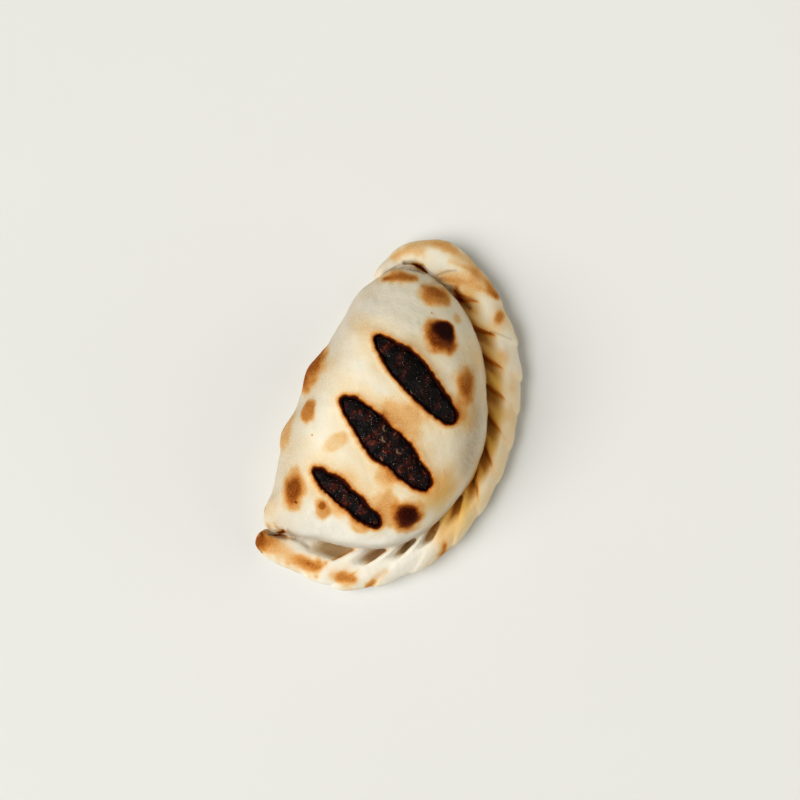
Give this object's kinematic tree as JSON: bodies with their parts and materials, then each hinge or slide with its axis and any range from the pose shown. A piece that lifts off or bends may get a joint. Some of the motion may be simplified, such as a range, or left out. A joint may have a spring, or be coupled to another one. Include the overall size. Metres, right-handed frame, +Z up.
{
  "type": "empanada",
  "caption": "Baked half-moon turnover of folded dough with a rope-folded rim, a flat underside and open cuts that show a dark filling.",
  "frame": {"origin": "on the resting plane, under the pillow's middle", "axes": "+X along the length, +Z up, and -Y towards the rope-folded rim"},
  "size_m": [0.1247, 0.0743, 0.0363],
  "materials": {
    "crust": "baked dough, matt and creamy white with brown blisters",
    "filling": "dark red-brown moist filling with a soft gloss"
  },
  "bodies": {
    "root": {"crust": "crust", "filling": "filling"}
  },
  "joints": []
}
